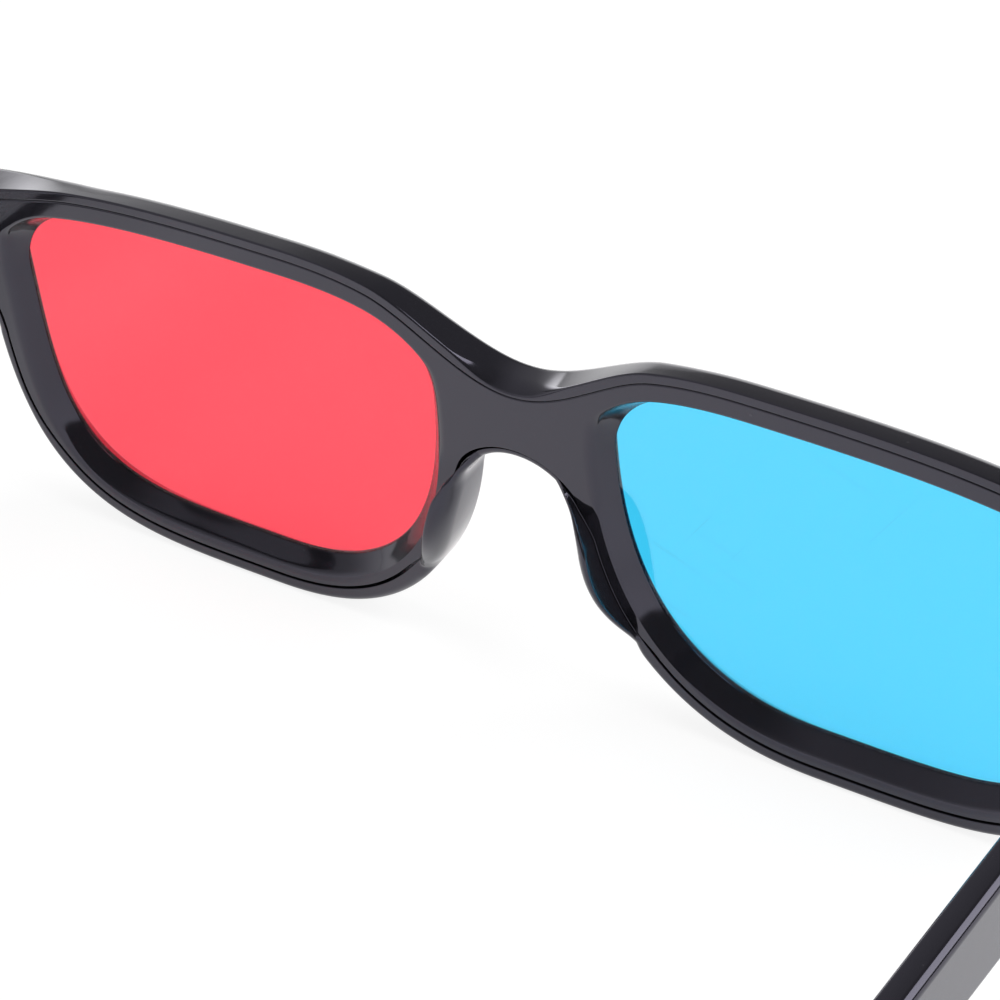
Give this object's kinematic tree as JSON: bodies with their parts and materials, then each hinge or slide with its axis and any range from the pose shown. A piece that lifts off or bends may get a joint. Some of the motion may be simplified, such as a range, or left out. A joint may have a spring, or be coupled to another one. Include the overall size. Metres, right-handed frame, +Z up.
{
  "type": "anaglyph viewing glasses",
  "caption": "Red and cyan viewing glasses with a glossy black plastic front, moulded nose pads and two folding temples.",
  "frame": {"origin": "on the surface that the glasses stand on, under the middle of their open length and width", "axes": "+Z up, +Y rearwards along the open temples, +X to the wearer's left"},
  "size_m": [0.1466, 0.1494, 0.0492],
  "materials": {
    "black_plastic": "polished black",
    "red_film": "clear red film",
    "cyan_film": "clear cyan film",
    "steel": "bright"
  },
  "bodies": {
    "front": {"front_shell": "black_plastic", "rear_plate": "black_plastic", "red_lens": "red_film", "cyan_lens": "cyan_film", "left_front_hinge_leaf": "steel", "right_front_hinge_leaf": "steel", "left_hinge_screw": "steel", "right_hinge_screw": "steel"},
    "left_arm": {"left_temple": "black_plastic", "left_temple_hinge_leaf": "steel"},
    "right_arm": {"right_temple": "black_plastic", "right_temple_hinge_leaf": "steel"}
  },
  "joints": [
    {"name": "left_temple_fold", "type": "hinge", "parent": "front", "child": "left_arm", "pos_m": [0.0699, -0.06767, 0.03775], "axis": [0, 0, 1], "range_deg": [0, 83.8]},
    {"name": "right_temple_fold", "type": "hinge", "parent": "front", "child": "right_arm", "pos_m": [-0.0699, -0.06767, 0.03775], "axis": [0, 0, -1], "range_deg": [0, 73.8]}
  ]
}
